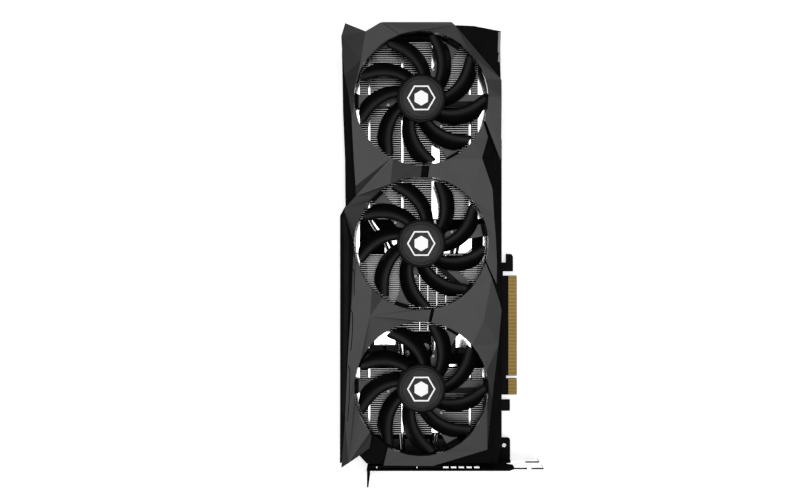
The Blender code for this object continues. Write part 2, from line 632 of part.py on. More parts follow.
def make_cover(name, facets, material):
    """Faceted panel: flat underneath, with each facet's corners at their own heights."""
    corners = cover_corners()
    shape = bmesh.new()
    flat = {}
    heights = {}

    def flat_vertex(point):
        key = (round(point[0], 2), round(point[1], 2))
        if key not in flat:
            flat[key] = shape.verts.new((point[0] * MM, point[1] * MM, COVER_LOW * MM))
            heights[key] = point[2]
        return flat[key]

    for facet in facets:
        outline = []
        for item in facet:
            if isinstance(item, str):
                outline.append(flat_vertex(corners[item]))
            else:
                outline += [flat_vertex(point) for point in rim_arc(*item)]
        edges = [shape.edges.get(pair) or shape.edges.new(pair)
                 for pair in zip(outline, outline[1:] + outline[:1])]
        bmesh.ops.triangle_fill(shape, edges=edges, use_beauty=False, normal=(0, 0, 1))
    grown = bmesh.ops.extrude_face_region(shape, geom=shape.faces[:])
    for item in grown["geom"]:
        if isinstance(item, bmesh.types.BMVert):
            item.co.z = heights[(round(item.co.x / MM, 2), round(item.co.y / MM, 2))] * MM
    add_object(name, shape, material)


def frame_rings():
    """Deck edge as (x, y) and skirt edge as (x, y, height), corner by corner."""
    return (
        ((-51.0, 147.0), (-52.5, 148.0, 30.0)), ((-53.0, 139.0), (-55.6, 137.0, 10.0)),
        ((-50.6, 113.0), (-55.0, 108.0, 10.0)), ((-48.6, 97.0), (-54.2, 92.0, 20.0)),
        ((-47.6, 58.0), (-52.8, 58.0, 20.0)), ((-47.0, 38.0), (-52.6, 33.0, 20.0)),
        ((-48.4, 30.0), (-53.0, 27.0, 10.0)), ((-51.4, 21.5), (-56.9, 20.0, 10.0)),
        ((-48.4, 2.0), (-56.9, 1.0, 10.0)), ((-48.4, -8.0), (-56.9, -8.0, 10.0)),
        ((-48.8, -43.5), (-56.9, -44.0, 10.0)), ((-50.0, -80.5), (-56.9, -80.0, 10.0)),
        ((-51.3, -119.0), (-56.9, -119.0, 10.0)), ((-53.0, -148.0), (-55.8, -151.6, 30.0)),
        ((-42.0, -144.0), (-42.5, -145.5, 30.0)), ((-37.0, -149.5), (-37.0, -151.5, 30.0)),
        ((-25.0, -149.5), (-25.0, -151.5, 30.0)), ((8.0, -149.5), (8.0, -151.5, 30.0)),
        ((44.0, -139.0), (53.0, -151.5, 30.0)), ((47.9, -106.0), (57.5, -140.0, 12.0)),
        ((51.6, -69.0), (57.7, -69.0, 10.0)), ((53.0, -45.0), (57.7, -45.0, 10.0)),
        ((50.5, -27.0), (57.7, -27.0, 10.0)), ((50.5, 2.0), (57.7, 2.0, 10.0)),
        ((48.0, 36.0), (57.7, 36.0, 10.0)), ((42.2, 57.0), (57.4, 45.0, 14.0)),
        ((51.5, 66.0), (57.0, 62.0, 14.0)), ((53.6, 98.0), (57.0, 98.0, 14.0)),
        ((52.2, 111.5), (57.0, 112.0, 14.0)), ((48.0, 116.5), (54.5, 133.0, 31.0)),
        ((30.0, 137.8), (55.4, 147.0, 28.0)), ((26.0, 142.5), (36.2, 149.2, 34.0)),
        ((23.4, 146.2), (24.2, 149.2, 36.0)), ((21.5, 146.8), (21.5, 148.8, 8.0)),
        ((-26.0, 147.5), (-26.0, 148.8, 8.0)), ((-37.5, 141.8), (-38.0, 142.6, 30.0)),
    )


def make_frame(material):
    """Black inner frame: a deck around the fan openings with a sloped skirt."""
    shape = bmesh.new()
    rings = frame_rings()
    deck = [shape.verts.new((x * MM, y * MM, DECK_TOP * MM)) for (x, y), _ in rings]
    skirt = [shape.verts.new((x * MM, y * MM, z * MM)) for _, (x, y, z) in rings]
    edges = [shape.edges.new(pair) for pair in zip(deck, deck[1:] + deck[:1])]
    for centre_y in FAN_CENTRES.values():
        ring = [shape.verts.new((x * MM, y * MM, DECK_TOP * MM))
                for x, y in circle((0, centre_y), OPENING_RADIUS, 40)]
        edges += [shape.edges.new(pair) for pair in zip(ring, ring[1:] + ring[:1])]
    bmesh.ops.triangle_fill(shape, edges=edges, use_beauty=True)
    for index in range(len(rings)):
        following = (index + 1) % len(rings)
        shape.faces.new((deck[index], deck[following], skirt[following], skirt[index]))
    bmesh.ops.triangulate(shape, faces=[face for face in shape.faces if len(face.verts) > 3])
    frame = add_object("shroud_frame", shape, material)
    top = next(face for face in frame.data.polygons if face.center.z > (DECK_TOP - 0.1) * MM)
    thicken = frame.modifiers.new("wall", "SOLIDIFY")
    thicken.thickness = FRAME_WALL * MM
    thicken.offset = -1.0 if top.normal.z > 0 else 1.0
    thicken.use_even_offset = True


# --- Fans ----------------------------------------------------------------------------

def blade_section(share):
    """Blade cross-section at a share of its length: (angle, upper, lower) per column."""
    radius = HUB_RADIUS + (BLADE_TIP_RADIUS - HUB_RADIUS) * share
    slant = math.atan(radius * BLADE_SWEEP / (BLADE_TIP_RADIUS - HUB_RADIUS))
    half = 0.5 * (HUB_RADIUS * BLADE_ROOT_ANGLE * (1 - share)
                  + BLADE_TIP_WIDTH / math.cos(slant) * share) / radius
    columns = []
    for column, (upper, lower) in enumerate(zip(BLADE_UPPER, BLADE_LOWER)):
        angle = BLADE_SWEEP * share - half + 2 * half * column / (len(BLADE_UPPER) - 1)
        columns.append((angle, upper, lower))
    return radius, columns


def make_rotor_shape():
    """Hub cup with nine blades grown out of its wall, centred on the axis."""
    shape = bmesh.new()
    columns_per_blade = len(BLADE_UPPER)
    count = BLADE_COUNT * columns_per_blade
    step = 2 * math.pi / count

    def vertex(radius, angle, height):
        return shape.verts.new((radius * MM * math.cos(angle), radius * MM * math.sin(angle),
                                height * MM))

    def ring(radius, height):
        return [vertex(radius, number * step, height) for number in range(count)]

    def band(lower, upper):
        for number in range(count):
            following = (number + 1) % count
            shape.faces.new((lower[number], lower[following], upper[following], upper[number]))

    wall_low = ring(HUB_RADIUS, HUB_LOW)
    wall_high = ring(HUB_RADIUS, RIM - HUB_CHAMFER)
    cap = ring(HUB_RADIUS - HUB_CHAMFER, RIM)
    cup_low = ring(CUP_RADIUS, HUB_LOW)
    cup_high = ring(CUP_RADIUS, CUP_CEILING)
    band(wall_high, cap)
    band(cup_low, wall_low)
    band(cup_high, cup_low)
    shape.faces.new(cap)
    shape.faces.new(cup_high)
    roots = []
    for blade in range(BLADE_COUNT):
        first = blade * columns_per_blade
        middle = (first + 1.5) * step
        rows = []
        for station in range(BLADE_STEPS + 1):
            radius, columns = blade_section(station / BLADE_STEPS)
            upper = []
            lower = []
            for column, (angle, high, low) in enumerate(columns):
                place = (first + column) * step if station == 0 else middle + angle
                upper.append(vertex(radius, place, high))
                lower.append(vertex(radius, place, low))
            rows.append(lower + upper[::-1])
        for inner, outer in zip(rows, rows[1:]):
            for index in range(len(inner)):
                following = (index + 1) % len(inner)
                shape.faces.new((inner[index], inner[following], outer[following], outer[index]))
        shape.faces.new(rows[-1])
        root = rows[0]
        for column in range(3):
            low_left, low_right = root[column], root[column + 1]
            high_left, high_right = root[7 - column], root[6 - column]
            wall = first + column
            shape.faces.new((wall_low[wall], wall_low[wall + 1], low_right, low_left))
            shape.faces.new((high_left, high_right, wall_high[wall + 1], wall_high[wall]))
        roots.append(root)
    for blade, root in enumerate(roots):
        right = blade * columns_per_blade
        close_wall_gap(shape, roots[blade - 1], root, wall_low, wall_high, right - 1, right)
    return shape


def close_wall_gap(shape, left_root, right_root, wall_low, wall_high, left, right):
    """Fill the hub wall between one blade's root and the next."""
    shape.faces.new((wall_low[left], wall_low[right], right_root[0], right_root[7],
                     wall_high[right], wall_high[left], left_root[4], left_root[3]))


def make_fan_frame_shape(fan):
    """Motor plate with its arms, and a post at the end of each arm."""
    half = ARM_WIDTH / 2
    shoulder = math.degrees(math.asin(half / MOTOR_PLATE_RADIUS))
    shape = bmesh.new()
    outline = []
    arms = []
    angles = sorted(angle % 360 for angle in ARM_ANGLES[fan])
    for index, angle in enumerate(angles):
        turn = Matrix.Rotation(math.radians(angle), 3, "Z")
        root = math.sqrt(MOTOR_PLATE_RADIUS ** 2 - half ** 2)
        reach = [root, ARM_REACH - POST_DEPTH, ARM_REACH]
        right = [shape.verts.new(turn @ Vector((x, -half, ARM_LOW)) * MM) for x in reach]
        left = [shape.verts.new(turn @ Vector((x, half, ARM_LOW)) * MM) for x in reach]
        shape.faces.new((right[0], right[1], left[1], left[0]))
        arms.append(shape.faces.new((right[1], right[2], left[2], left[1])))
        outline += [right[0], left[0]]
        following = angles[(index + 1) % len(angles)] + (360 if index == len(angles) - 1 else 0)
        start = angle + shoulder
        end = following - shoulder
        steps = max(2, round((end - start) / 15))
        for x, y in arc((0, 0), MOTOR_PLATE_RADIUS, start, end, steps)[1:-1]:
            outline.append(shape.verts.new((x * MM, y * MM, ARM_LOW * MM)))
    bore = [shape.verts.new((x * MM, y * MM, ARM_LOW * MM))
            for x, y in circle((0, 0), BEARING_RADIUS + GAP, 20)]
    edges = []
    for loop in (outline, bore):
        for pair in zip(loop, loop[1:] + loop[:1]):
            edges.append(shape.edges.get(pair) or shape.edges.new(pair))
    bmesh.ops.triangle_fill(shape, edges=edges, use_beauty=True)
    ends = [face.calc_center_median() for face in arms]
    grow_up(shape, shape.faces[:], ARM_TOP - ARM_LOW)
    bmesh.ops.recalc_face_normals(shape, faces=shape.faces[:])
    posts = []
    for face in shape.faces:
        middle = face.calc_center_median()
        level = middle.z > (ARM_TOP - 0.1) * MM
        if level and min((middle.xy - place.xy).length for place in ends) < 0.01 * MM:
            posts.append(face)
    post_top = DECK_TOP - FRAME_WALL - GAP
    for raised in bmesh.ops.extrude_discrete_faces(shape, faces=posts)["faces"]:
        bmesh.ops.translate(shape, verts=raised.verts[:], vec=(0, 0, (post_top - ARM_TOP) * MM))
    return shape


def make_fan(fan, materials):
    """One fan: its pieces hang from an empty on the fan's axis."""
    axis = bpy.data.objects.new(f"fan_{fan}_axis", None)
    axis.location = (0, FAN_CENTRES[fan] * MM, 0)
    bpy.context.scene.collection.objects.link(axis)
    rotor = add_object(f"fan_{fan}_rotor", make_rotor_shape(), materials["fan"], True, axis)
    rotor.rotation_euler.z = math.radians(ROTOR_TURN[fan])
    shaft = turned([(0, ARM_LOW + 0.6), (SHAFT_RADIUS, ARM_LOW + 0.6),
                    (SHAFT_RADIUS, CUP_CEILING - GAP), (0, CUP_CEILING - GAP)], 16)
    add_object(f"fan_{fan}_shaft", shaft, materials["steel"], True, axis)
    bearing = turned([(SHAFT_RADIUS + GAP, ARM_LOW), (BEARING_RADIUS, ARM_LOW),
                      (BEARING_RADIUS, CUP_CEILING - 1.5), (SHAFT_RADIUS + GAP, CUP_CEILING - 1.5)], 20)
    add_object(f"fan_{fan}_bearing", bearing, materials["brass"], True, axis)
    stator = turned([(BEARING_RADIUS + GAP, ARM_TOP + GAP), (CUP_RADIUS - 1.0, ARM_TOP + GAP),
                     (CUP_RADIUS - 1.0, CUP_CEILING - 1.0), (BEARING_RADIUS + GAP, CUP_CEILING - 1.0)], 24)
    add_object(f"fan_{fan}_motor", stator, materials["choke"], True, axis)
    add_object(f"fan_{fan}_frame", make_fan_frame_shape(fan), materials["arm"], False, axis)


def main():
    clear_scene()
    materials = {
        "cover": make_material("cover_plastic", (0.05, 0.05, 0.053), 0.45),
        "frame": make_material("frame_plastic", (0.012, 0.012, 0.013), 0.5),
        "fan": make_material("fan_plastic", (0.01, 0.01, 0.011), 0.4),
        "arm": make_material("arm_plastic", (0.05, 0.05, 0.052), 0.5),
        "plastic": make_material("socket_plastic", (0.012, 0.012, 0.012), 0.5),
        "board": make_material("board_laminate", (0.012, 0.012, 0.016), 0.5),
        "gold": make_material("gold_plating", (0.75, 0.5, 0.18), 0.3, 1.0),
        "package": make_material("chip_resin", (0.015, 0.015, 0.016), 0.5),
        "silicon": make_material("silicon", (0.12, 0.12, 0.14), 0.15, 0.6),
        "choke": make_material("ferrite", (0.03, 0.03, 0.032), 0.6),
        "steel": make_material("bright_steel", (0.6, 0.6, 0.62), 0.3, 1.0),
        "brass": make_material("bearing_brass", (0.6, 0.42, 0.15), 0.35, 1.0),
        "fins": make_material("fin_aluminium", (0.75, 0.75, 0.77), 0.3, 1.0),
        "nickel": make_material("nickel_plating", (0.8, 0.8, 0.8), 0.15, 1.0),
        "black_metal": make_material("black_metal", (0.015, 0.015, 0.016), 0.45, 0.3),
    }
    make_backplate(materials["black_metal"])
    make_board(materials["board"])
    make_contacts(materials["gold"])
    make_chips(materials)
    make_sockets(materials)
    make_cooler_screws(materials["steel"])
    make_bracket(materials["black_metal"])
    make_memory_plate(materials["black_metal"])
    make_cold_plate(materials["nickel"])
    make_heat_pipes(materials["nickel"])
    for name in FIN_STACKS:
        make_fin_stack(name, materials["fins"])
    make_frame(materials["frame"])
    make_cover("cover_left", LEFT_FACETS, materials["cover"])
    make_cover("cover_upper_right", UPPER_RIGHT_FACETS, materials["cover"])
    make_cover("cover_middle_right", MIDDLE_RIGHT_FACETS, materials["cover"])
    make_cover("cover_lower_right", LOWER_RIGHT_FACETS, materials["cover"])
    for fan in FAN_CENTRES:
        make_fan(fan, materials)


main()
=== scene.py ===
"""Looks of the three-fan graphics card: materials, fine fins, smooth fans and small details.

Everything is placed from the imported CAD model, in metres. +Z points out of the fan side,
+X to the edge connector and -Y to the I/O bracket.
"""

import json
import math

import bmesh
import bpy
from mathutils import Matrix, Vector


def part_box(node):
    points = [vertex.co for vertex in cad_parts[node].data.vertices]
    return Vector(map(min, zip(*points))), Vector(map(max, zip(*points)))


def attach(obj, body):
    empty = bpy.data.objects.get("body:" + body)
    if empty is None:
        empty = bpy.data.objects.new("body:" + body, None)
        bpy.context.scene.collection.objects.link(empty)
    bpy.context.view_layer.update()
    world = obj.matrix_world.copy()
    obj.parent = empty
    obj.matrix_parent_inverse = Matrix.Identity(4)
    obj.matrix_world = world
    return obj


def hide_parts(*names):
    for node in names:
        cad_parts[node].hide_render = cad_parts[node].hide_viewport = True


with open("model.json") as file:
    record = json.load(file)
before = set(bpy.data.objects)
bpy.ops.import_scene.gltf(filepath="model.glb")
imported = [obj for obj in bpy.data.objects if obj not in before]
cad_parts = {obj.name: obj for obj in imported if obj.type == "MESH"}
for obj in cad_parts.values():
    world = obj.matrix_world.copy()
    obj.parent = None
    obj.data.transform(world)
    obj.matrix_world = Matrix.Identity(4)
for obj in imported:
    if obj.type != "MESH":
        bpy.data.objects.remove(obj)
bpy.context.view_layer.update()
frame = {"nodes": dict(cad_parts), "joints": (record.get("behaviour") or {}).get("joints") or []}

MM = 0.001
CARD = "card"
FANS = ("tail", "middle", "bracket")
FAN_AXIS = {joint["name"].split("_")[1]: Vector(joint["pos_m"]) for joint in frame["joints"]}
BLADE_COUNT = 9
ROTOR_TURN = {"tail": 39.5, "middle": 34.5, "bracket": 39.5}
# Directions of the three arms that hold each fan, and of the arm that carries its wires.
ARM_ANGLES = {"tail": (60, 180, 300), "middle": (12.6, 132.6, 252.6), "bracket": (60, 180, 300)}
LEAD_ANGLE = {"tail": 0, "middle": 316, "bracket": 0}
COVERS = ("cover_left", "cover_upper_right", "cover_middle_right", "cover_lower_right")
VIDEO_SOCKETS = ("display_socket_1", "display_socket_2", "display_socket_3", "hdmi_socket")

# Lengths below with MM are in metres, and all the others in millimetres.
FIN_PITCH = 1.48 * MM
HUB_RADIUS = 16.5
CAP_TOP = 45.7
COVER_TOP = 45.62
SKIRT_TOP = 39.7
SKIRT_BOTTOM = 10.0
BRACKET_FACE = 11.4 * MM
BRACKET_PITCH = 20.32
BOARD_TOP = 5.0
STACK_EDGES = (-48.3, 47.8)
SHARP_ANGLE = 32
# X spans of the fin banks in each stack.
OUTER_BANKS = ((-41.8, -36.4), (-34.9, -13.5), (-11.9, 7.6), (13.2, 33.4))
BANKS = {
    "tail": (*OUTER_BANKS, (35.0, 39.3)),
    "middle": ((-41.8, -1.0), (-0.4, 4.6), (5.2, 10.8), (11.4, 17.0), (17.6, 42.5)),
    "bracket": (*OUTER_BANKS, (35.0, 42.5)),
}
# Places where a flattened pipe shows between the fins, as X and Y spans.
PIPE_WINDOWS = {
    "tail": ((-31.0, -16.5, 105.0, 131.0), (19.0, 32.0, 104.0, 131.0), (-23.5, -15.0, 22.0, 40.0),
             (22.5, 31.0, 17.5, 38.0)),
    "middle": ((-38.0, -27.5, -38.0, -7.5), (-23.0, -13.5, -46.0, -7.5), (29.0, 40.0, -25.0, -7.5)),
    "bracket": (),
}
# Seams of the snap-in tabs on the left of the cover, as X and Y points.
GROOVES = (
    ((-46.2, -17.5), (-45.3, -18.2), (-44.9, -19.9), (-44.9, -31.3), (-45.3, -35.0)),
    ((-47.4, -44.8), (-46.4, -46.6), (-46.2, -49.0), (-46.3, -58.2), (-46.8, -66.0),
     (-47.4, -72.4)),
    ((-49.3, -82.3), (-48.3, -84.6), (-48.0, -87.5), (-48.6, -107.4), (-49.6, -119.5)),
)


# --- Camera, light and floor -----------------------------------------------------------

def make_camera():
    """Straight down over the fan side of the card."""
    data = bpy.data.cameras.new("camera")
    data.sensor_width = 36.0
    data.lens = 43.07
    data.clip_start = 0.01
    camera = bpy.data.objects.new("camera", data)
    camera.location = (-14.3 * MM, -4.4 * MM, 690 * MM)
    bpy.context.scene.collection.objects.link(camera)
    bpy.context.scene.camera = camera
    bpy.context.scene.view_settings.view_transform = "Standard"


def make_area_light(name, place, target, size, watts):
    data = bpy.data.lights.new(name, "AREA")
    data.shape = "DISK"
    data.size = size
    data.energy = watts
    light = bpy.data.objects.new(name, data)
    light.location = place
    light.rotation_euler = (Vector(target) - Vector(place)).to_track_quat("-Z", "Y").to_euler()
    bpy.context.scene.collection.objects.link(light)


def make_world():
    """Soft studio dome, bright overhead and dim towards the horizon."""
    world = bpy.data.worlds.new("studio_dome")
    bpy.context.scene.world = world
    world.use_nodes = True
    nodes = world.node_tree.nodes
    links = world.node_tree.links
    coords = nodes.new("ShaderNodeTexCoord")
    split = nodes.new("ShaderNodeSeparateXYZ")
    ramp = nodes.new("ShaderNodeValToRGB")
    links.new(coords.outputs["Generated"], split.inputs[0])
    links.new(split.outputs["Z"], ramp.inputs["Fac"])
    ramp.color_ramp.interpolation = "EASE"
    stops = ((0.0, 0.007), (0.5, 0.02), (0.8, 0.08), (0.9, 0.3), (0.966, 1.0), (1.0, 1.0))
    elements = ramp.color_ramp.elements
    while len(elements) < len(stops):
        elements.new(0.5)
    for element, (place, level) in zip(elements, stops):
        element.position = place
        element.color = (level, level, level, 1)
    background = nodes["Background"]
    background.inputs["Strength"].default_value = 3.0
    links.new(ramp.outputs["Color"], background.inputs["Color"])


def make_floor():
    mesh = bpy.data.meshes.new("floor")
    mesh.from_pydata([(-3, -3, 0), (3, -3, 0), (3, 3, 0), (-3, 3, 0)], [], [(0, 1, 2, 3)])
    floor = bpy.data.objects.new("floor", mesh)
    floor.location.z = -0.2 * MM
    material, shader = new_material("floor_white", (0.95, 0.95, 0.95), 0.8)
    shader.inputs["Emission Color"].default_value = (1, 1, 1, 1)
    shader.inputs["Emission Strength"].default_value = 0.55
    mesh.materials.append(material)
    bpy.context.scene.collection.objects.link(floor)


# --- Materials -------------------------------------------------------------------------

def new_material(name, colour, roughness, metallic=0.0):
    material = bpy.data.materials.new(name)
    material.use_nodes = True
    shader = material.node_tree.nodes["Principled BSDF"]
    shader.inputs["Base Color"].default_value = (*colour, 1)
    shader.inputs["Roughness"].default_value = roughness
    shader.inputs["Metallic"].default_value = metallic
    return material, shader


def noise(nodes, links, coords, scale, detail, stretch):
    """Noise in object space, finer along the axes that stretch names."""
    texture = nodes.new("ShaderNodeTexNoise")
    texture.inputs["Scale"].default_value = scale
    texture.inputs["Detail"].default_value = detail
    source = coords.outputs["Object"]
    if stretch:
        mapping = nodes.new("ShaderNodeMapping")
        mapping.inputs["Scale"].default_value = stretch
        links.new(source, mapping.inputs["Vector"])
        source = mapping.outputs["Vector"]
    links.new(source, texture.inputs["Vector"])
    return texture.outputs["Fac"]


def remap(nodes, links, value, low, high):
    """Spread the middle of a noise over a range."""
    step = nodes.new("ShaderNodeMapRange")
    step.inputs["From Min"].default_value = 0.3
    step.inputs["From Max"].default_value = 0.7
    step.inputs["To Min"].default_value = low
    step.inputs["To Max"].default_value = high
    links.new(value, step.inputs["Value"])
    return step.outputs["Result"]


def surface(name, colour, roughness, metallic=0.0, grain=1400.0, depth=0.02, spread=0.05,
            shade=0.12, stretch=None, specular=0.5):
    """Material whose colour, gloss and relief vary finely.

    Grain is in cycles per metre, depth is the relief in millimetres, and spread and shade say
    how far roughness and colour vary.
    """
    material, shader = new_material(name, colour, roughness, metallic)
    nodes = material.node_tree.nodes
    links = material.node_tree.links
    coords = nodes.new("ShaderNodeTexCoord")
    fine = noise(nodes, links, coords, grain, 3.0, stretch)
    broad = noise(nodes, links, coords, grain / 30, 2.0, stretch)
    mix = nodes.new("ShaderNodeMix")
    mix.data_type = "RGBA"
    mix.inputs["A"].default_value = (*[channel * (1 - shade) for channel in colour], 1)
    mix.inputs["B"].default_value = (*[min(1.0, channel * (1 + shade)) for channel in colour], 1)
    links.new(remap(nodes, links, broad, 0.0, 1.0), mix.inputs["Factor"])
    links.new(mix.outputs["Result"], shader.inputs["Base Color"])
    links.new(remap(nodes, links, broad, roughness - spread, roughness + spread),
              shader.inputs["Roughness"])
    bump = nodes.new("ShaderNodeBump")
    bump.inputs["Strength"].default_value = 0.5
    bump.inputs["Distance"].default_value = depth * MM
    links.new(fine, bump.inputs["Height"])
    links.new(bump.outputs["Normal"], shader.inputs["Normal"])
    shader.inputs["Specular IOR Level"].default_value = specular
    return material


def make_materials():
    white_print_and_painted_glow = surface("white_print_and_painted_glow", (0.95, 0.95, 0.95), 0.4, grain=2000, depth=0.005,
                         shade=0.02)
    # The white print also glows weakly: a painted glow, though the emblem is no lamp.
    painted_glow = white_print_and_painted_glow.node_tree.nodes["Principled BSDF"]
    painted_glow.inputs["Emission Color"].default_value = (1, 1, 1, 1)
    painted_glow.inputs["Emission Strength"].default_value = 0.3
    return {
        "cover_plastic": surface("cover_plastic", (0.015, 0.015, 0.0153), 0.28, grain=2600,
                                 depth=0.003, spread=0.015, shade=0.03, specular=0.3),
        "frame_plastic": surface("frame_plastic", (0.008, 0.008, 0.0085), 0.6, grain=2600,
                                 depth=0.02, specular=0.0),
        "fan_plastic": surface("fan_plastic", (0.003, 0.003, 0.0033), 0.48, grain=2200,
                               depth=0.01, spread=0.02, specular=0.16),
        "cap_plastic": surface("cap_plastic", (0.0045, 0.0045, 0.0048), 0.42, grain=3000,
                               depth=0.015, specular=0.25),
        "arm_plastic": surface("arm_plastic", (0.03, 0.03, 0.03), 0.45, grain=2400, depth=0.015),
        "socket_plastic": surface("socket_plastic", (0.006, 0.006, 0.006), 0.45, grain=2500,
                                  specular=0.25),
        "board": surface("board", (0.0115, 0.0105, 0.012), 0.5, grain=900, depth=0.02,
                         specular=0.0),
        "gold": surface("gold", (0.22, 0.145, 0.045), 0.38, 1.0, grain=1800, depth=0.004),
        "chip": surface("chip", (0.012, 0.012, 0.012), 0.5, grain=4000),
        "silicon": surface("silicon", (0.12, 0.12, 0.14), 0.15, 0.6, grain=400, depth=0.0),
        "ferrite": surface("ferrite", (0.01, 0.01, 0.011), 0.6, grain=3000, depth=0.05,
                           specular=0.25),
        "steel": surface("steel", (0.6, 0.6, 0.62), 0.28, 1.0, grain=900, stretch=(1, 12, 1)),
        "dull_steel": surface("dull_steel", (0.18, 0.18, 0.18), 0.4, 1.0, grain=900),
        "brass": surface("brass", (0.6, 0.42, 0.15), 0.3, 1.0, grain=900),
        "fins": surface("fins", (0.33, 0.33, 0.333), 0.4, 1.0, grain=700, depth=0.006,
                        stretch=(1, 14, 14)),
        # Near-black copy of the fin metal with no gloss: painted shade on the fin sides and under
        # the fins.
        "fin_painted_shade": surface("fin_painted_shade", (0.008, 0.008, 0.008), 0.5, grain=700, depth=0.006,
                             stretch=(1, 14, 14), specular=0.0),
        "nickel": surface("nickel", (0.9, 0.9, 0.9), 0.14, 1.0, grain=300, depth=0.003,
                          stretch=(14, 1, 14)),
        "dull_nickel": surface("dull_nickel", (0.06, 0.059, 0.059), 0.4, 1.0, grain=300,
                               depth=0.003, stretch=(14, 1, 14)),
        "copper": surface("copper", (0.75, 0.36, 0.2), 0.25, 1.0, grain=500, depth=0.004),
        "black_metal": surface("black_metal", (0.008, 0.008, 0.0085), 0.5, grain=1800, depth=0.03,
                               specular=0.0),
        "side_plastic": surface("side_plastic", (0.016, 0.016, 0.0165), 0.6, grain=2600,
                                depth=0.02, specular=0.0),
        "dark_steel": surface("dark_steel", (0.03, 0.03, 0.032), 0.35, 1.0, grain=900,
                              stretch=(1, 12, 1)),
        # Pale grey strip colour: a painted highlight on the tail skirt's edge.
        "painted_edge_highlight": surface("painted_edge_highlight", (0.35, 0.35, 0.35), 0.45, grain=1800, depth=0.01),
        "white_print_and_painted_glow": white_print_and_painted_glow,
    }


# --- Mesh helpers ----------------------------------------------------------------------

def add_piece(name, shape, material, body, stands_for=(), smooth=True):
    bmesh.ops.recalc_face_normals(shape, faces=shape.faces[:])
    mesh = bpy.data.meshes.new(name)
    shape.to_mesh(mesh)
    shape.free()
    mesh.materials.append(material)
    if smooth:
        mesh.shade_smooth()
        mesh.set_sharp_from_angle(angle=math.radians(SHARP_ANGLE))
    piece = bpy.data.objects.new(name, mesh)
    bpy.context.scene.collection.objects.link(piece)
    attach(piece, body)
    if stands_for:
        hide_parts(*stands_for)
    return piece


def add_box(shape, low, high):
    """Add a box to a shape, from its lowest to its highest corner, in metres."""
    corners = [shape.verts.new((x, y, z)) for z in (low[2], high[2])
               for y in (low[1], high[1]) for x in (low[0], high[0])]
    for quad in ((0, 1, 3, 2), (4, 6, 7, 5), (0, 4, 5, 1), (2, 3, 7, 6), (0, 2, 6, 4),
                 (1, 5, 7, 3)):
        shape.faces.new([corners[index] for index in quad])


def add_bar(shape, rows):
    """Add a closed bar that runs through rows of four vertices."""
    for first, second in zip(rows, rows[1:]):
        for index in range(4):
            following = (index + 1) % 4
            shape.faces.new((first[index], first[following], second[following], second[index]))
    shape.faces.new(rows[0])
    shape.faces.new(rows[-1])


def add_tube(name, points, radius, resolution, kind, material):
    """Tube on the card along (x, y, z, share of the radius) points, in metres."""
    curve = bpy.data.curves.new(name, "CURVE")
    curve.dimensions = "3D"
    curve.bevel_depth = radius
    curve.bevel_resolution = resolution
    curve.use_fill_caps = True
    spline = curve.splines.new(kind)
    spline.points.add(len(points) - 1)
    spline.use_endpoint_u = kind == "NURBS"
    for place, (x, y, z, share) in zip(spline.points, points):
        place.co = (x, y, z, 1)
        place.radius = share
    curve.materials.append(material)
    tube = bpy.data.objects.new(name, curve)
    bpy.context.scene.collection.objects.link(tube)
    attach(tube, CARD)
    return tube


def soften(piece, width, segments=2, angle=30):
    """Round a piece's sharp edges by a width in millimetres."""
    bevel = piece.modifiers.new("rounded_edges", "BEVEL")
    bevel.width = width * MM
    bevel.segments = segments
    bevel.limit_method = "ANGLE"
    bevel.angle_limit = math.radians(angle)
    bevel.harden_normals = False


def add_turned(shape, profile, centre, segments=64):
    """Turn a closed (radius, height) profile, in millimetres, about an upright axis."""
    rings = []
    turns = [2 * math.pi * k / segments for k in range(segments)]
    for radius, height in profile:
        rings.append([shape.verts.new((centre[0] + radius * MM * math.cos(turn),
                                       centre[1] + radius * MM * math.sin(turn), height * MM))
                      for turn in (turns if radius > 0 else turns[:1])])
    pairs = list(zip(rings, rings[1:]))
    if profile[0][0] > 0:
        pairs.append((rings[-1], rings[0]))
    for first, second in pairs:
        for k in range(segments):
            following = (k + 1) % segments
            if len(first) == 1:
                shape.faces.new((first[0], second[k], second[following]))
            elif len(second) == 1:
                shape.faces.new((first[k], first[following], second[0]))
            else:
                shape.faces.new((first[k], first[following], second[following], second[k]))


def add_polygon_prism(shape, centre, outer, inner, sides, turn, low, high):
    """Flat ring or, with inner 0, a solid plate with straight sides; sizes in millimetres."""
    def ring(radius, height):
        angles = [2 * math.pi * k / sides + turn for k in range(sides)]
        return [shape.verts.new((centre[0] + radius * MM * math.cos(angle),
                                 centre[1] + radius * MM * math.sin(angle), height * MM))
                for angle in angles]

    def join(first, second):
        for k in range(sides):
            following = (k + 1) % sides
            shape.faces.new((first[k], first[following], second[following], second[k]))

    outer_low, outer_high = ring(outer, low), ring(outer, high)
    join(outer_low, outer_high)
    if inner == 0:
        shape.faces.new(outer_high)
        shape.faces.new(outer_low)
    else:
        inner_low, inner_high = ring(inner, low), ring(inner, high)
        join(outer_high, inner_high)
        join(inner_high, inner_low)
        join(inner_low, outer_low)


def paint(node, material, edge=0.0, angle=30):
    """Give a CAD node its finished material and, if asked, rounded edges."""
    item = frame["nodes"][node]
    if not item.material_slots:
        item.data.materials.append(material)
    for slot in item.material_slots:
        slot.link = "OBJECT"
        slot.material = material
    if edge:
        soften(item, edge, angle=angle)


# --- Fans ------------------------------------------------------------------------------

